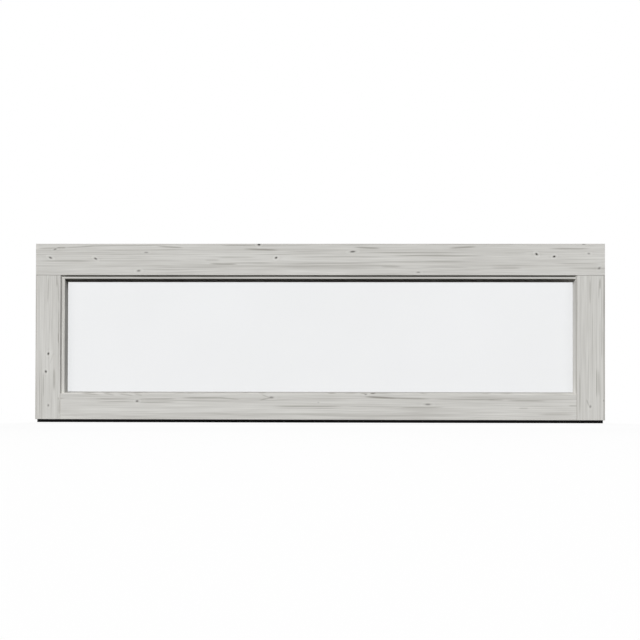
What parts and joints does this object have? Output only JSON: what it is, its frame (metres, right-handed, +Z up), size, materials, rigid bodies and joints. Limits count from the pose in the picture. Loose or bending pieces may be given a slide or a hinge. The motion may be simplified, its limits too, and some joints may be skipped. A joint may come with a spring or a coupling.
{
  "type": "fixed timber window",
  "caption": "Low, wide fixed timber window: face boards on a rebated frame, a sealed double-glazed unit held by beads from behind, and a black seal strip underneath.",
  "frame": {"origin": "on the ground, in the middle of the window's width and depth, under the seal strip", "axes": "+Z up, +X to the right seen from the face boards, -Y out of the face boards"},
  "size_m": [1.59, 0.096, 0.5],
  "materials": {
    "face_boards": "pale grey stained knotty softwood, matt",
    "frame_timber": "pale grey stained softwood, matt",
    "bead_timber": "pale grey stained softwood, matt",
    "glazing_rubber": "black, matt",
    "pane_glass": "clear float glass",
    "spacer_metal": "mill finish aluminium",
    "unit_sealant": "black sealant",
    "block_plastic": "dark grey moulded plastic",
    "base_rubber": "black, matt"
  },
  "bodies": {
    "root": {"head_board": "face_boards", "left_side_board": "face_boards", "right_side_board": "face_boards", "bottom_board": "face_boards", "frame_head": "frame_timber", "left_jamb": "frame_timber", "right_jamb": "frame_timber", "frame_sill": "frame_timber", "top_bead": "bead_timber", "bottom_bead": "bead_timber", "left_bead": "bead_timber", "right_bead": "bead_timber", "top_tape": "glazing_rubber", "bottom_tape": "glazing_rubber", "left_tape": "glazing_rubber", "right_tape": "glazing_rubber", "top_gasket": "glazing_rubber", "bottom_gasket": "glazing_rubber", "left_gasket": "glazing_rubber", "right_gasket": "glazing_rubber", "outer_pane": "pane_glass", "inner_pane": "pane_glass", "top_spacer_bar": "spacer_metal", "bottom_spacer_bar": "spacer_metal", "left_spacer_bar": "spacer_metal", "right_spacer_bar": "spacer_metal", "top_sealant": "unit_sealant", "bottom_sealant": "unit_sealant", "left_sealant": "unit_sealant", "right_sealant": "unit_sealant", "left_setting_block": "block_plastic", "right_setting_block": "block_plastic", "left_side_block": "block_plastic", "right_side_block": "block_plastic", "base_strip": "base_rubber"}
  },
  "joints": []
}
